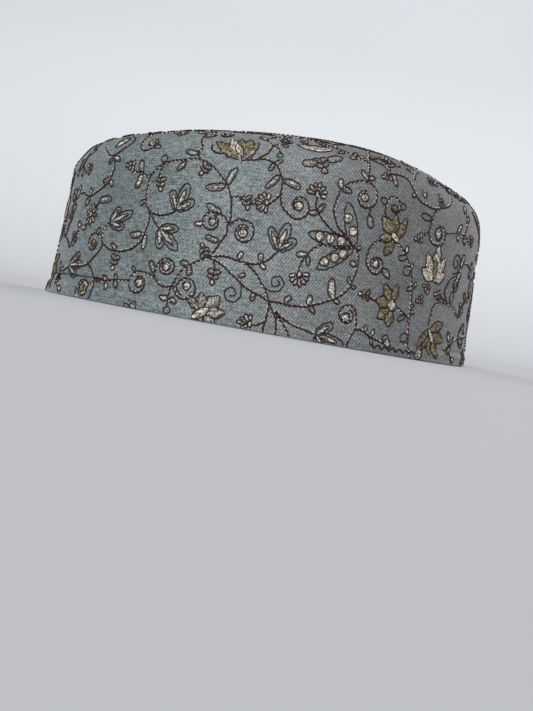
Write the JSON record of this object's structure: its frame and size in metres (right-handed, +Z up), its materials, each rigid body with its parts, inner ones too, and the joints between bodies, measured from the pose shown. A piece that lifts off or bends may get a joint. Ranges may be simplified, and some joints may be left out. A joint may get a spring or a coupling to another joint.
{
  "type": "embroidered round cap",
  "caption": "Round soft cap with a straight side band, a rounded shoulder and a low domed crown, in grey cloth embroidered all over with flowering vines.",
  "frame": {"origin": "centre of the rim, on the surface that the cap rests on", "axes": "+Z up through the crown, front of the cap towards -X, back towards +X"},
  "size_m": [0.19, 0.1856, 0.0847],
  "materials": {
    "embroidered_cloth": "soft twill, matt",
    "lining_cloth": "plain weave, matt",
    "dark_thread": "twisted cord, soft sheen",
    "cream_thread": "satin stitch, silky",
    "gold_thread": "metallic yarn, silky"
  },
  "bodies": {
    "root": {"side_band": "embroidered_cloth", "crown_panel": "embroidered_cloth", "side_lining": "lining_cloth", "crown_lining": "lining_cloth"}
  },
  "joints": []
}
